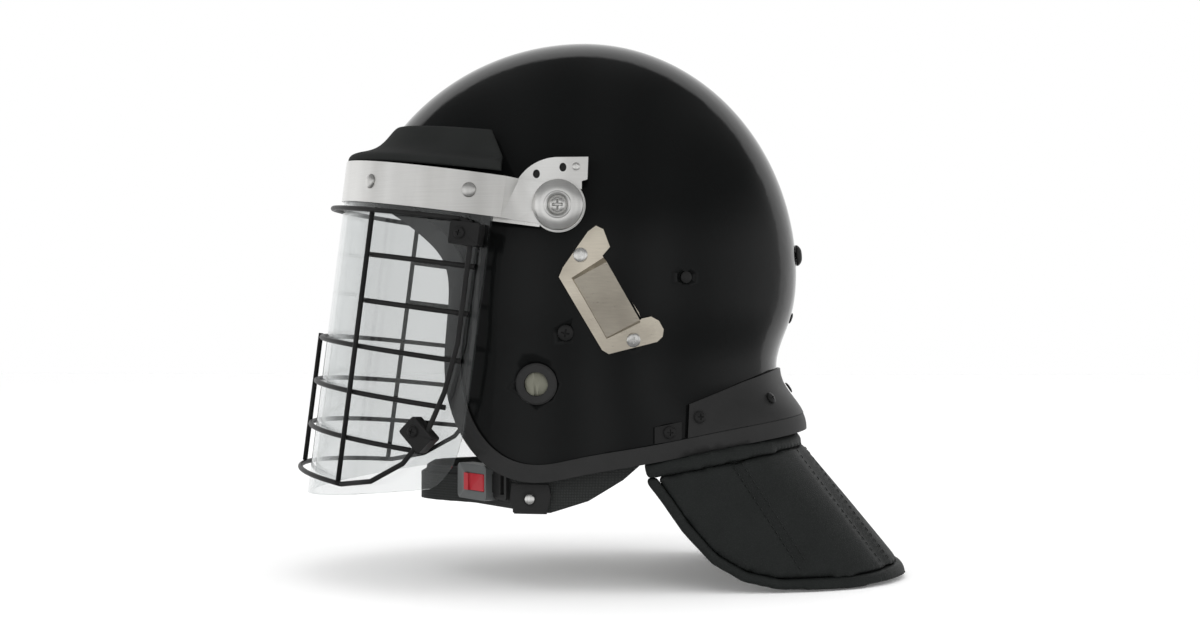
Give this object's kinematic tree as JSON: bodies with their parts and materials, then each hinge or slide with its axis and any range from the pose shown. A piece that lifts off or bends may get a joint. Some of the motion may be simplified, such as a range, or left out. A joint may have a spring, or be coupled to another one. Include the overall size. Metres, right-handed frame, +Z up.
{
  "type": "police riot helmet",
  "caption": "Full-cut riot helmet with lined shell, wire-caged clear visor on side pivots, padded neck guard and buckled chin harness.",
  "frame": {"origin": "where the crown of the head meets the underside of the crown pad, on the helmet's middle plane", "axes": "+X towards the wearer's left, +Y towards the back, +Z up; the face opening is towards -Y"},
  "size_m": [0.2692, 0.38, 0.3297],
  "materials": {
    "black_shell": "glossy black",
    "edge_rubber": "satin black rubber",
    "liner_foam": "dull olive-grey foam",
    "liner_cloth": "beige cloth over foam",
    "seal_rubber": "matt black foam rubber",
    "brushed_steel": "brushed stainless steel",
    "warm_steel": "stamped stainless steel",
    "screw_steel": "bright screw steel",
    "spring_steel": "spring steel",
    "clear_visor": "clear polycarbonate",
    "black_wire": "black powder coat",
    "dark_screw": "black finish",
    "black_nylon": "black moulded nylon",
    "vent_grey": "grey perforated disc",
    "black_webbing": "black webbing",
    "leatherette": "black grained leatherette",
    "buckle_grey": "grey moulded plastic",
    "lever_red": "red moulded plastic"
  },
  "bodies": {
    "helmet": {"shell": "black_shell", "edge_trim": "edge_rubber", "impact_liner": "liner_foam", "crown_pad": "liner_cloth", "brow_pad": "liner_cloth", "cheek_pad_left": "liner_cloth", "cheek_pad_right": "liner_cloth", "nape_pad": "liner_cloth", "pivot_base_left": "black_nylon", "pivot_base_right": "black_nylon", "index_plate_left": "brushed_steel", "index_plate_right": "brushed_steel", "index_plate_screws": "screw_steel", "pivot_bushes": "brushed_steel", "wave_washers": "spring_steel", "pivot_domes": "brushed_steel", "pivot_screws": "screw_steel", "pivot_nuts": "screw_steel", "mask_hook_left": "warm_steel", "mask_hook_right": "warm_steel", "mask_hook_screws": "screw_steel", "strap_anchor_screws": "dark_screw", "shell_rivets": "dark_screw", "rear_plug": "black_nylon", "ear_grommets": "edge_rubber", "ear_vents": "vent_grey", "neck_strip": "black_nylon", "strip_clips": "dark_screw", "neck_strip_screws": "dark_screw", "neck_guard_roll": "leatherette", "neck_guard": "leatherette", "neck_guard_piping": "leatherette", "strap_yokes": "black_webbing", "strap_junctions": "black_nylon", "junction_rivets": "screw_steel", "chin_strap": "black_webbing", "chin_cup": "black_webbing", "buckle_housing": "buckle_grey", "buckle_tongue": "black_nylon"},
    "visor": {"visor_band": "brushed_steel", "visor_shield": "clear_visor", "inner_band": "brushed_steel", "band_rivets": "brushed_steel", "brow_seal": "seal_rubber", "cage_top_wire": "black_wire", "cage_bottom_wire": "black_wire", "cage_side_wire_left": "black_wire", "cage_side_wire_right": "black_wire", "cage_upright_left": "black_wire", "cage_upright_right": "black_wire", "cage_centre_bar": "black_wire", "cage_short_bars": "black_wire", "cage_upper_bar": "black_wire", "cage_middle_bar": "black_wire", "cage_lower_bar": "black_wire", "detent_leaves": "spring_steel", "cage_clamps": "black_wire", "clamp_bolts": "dark_screw", "clamp_nuts": "dark_screw"},
    "buckle_lever": {"buckle_lever": "lever_red"}
  },
  "joints": [
    {"name": "visor_hinge", "type": "hinge", "parent": "helmet", "child": "visor", "pos_m": [0, -0.0086, -0.0695], "axis": [-1, 0, 0], "range_deg": [0, 90]},
    {"name": "buckle_lever_hinge", "type": "hinge", "parent": "helmet", "child": "buckle_lever", "pos_m": [0.08068, -0.05439, -0.231], "axis": [0, 0, 1], "range_deg": [0, 35]}
  ]
}
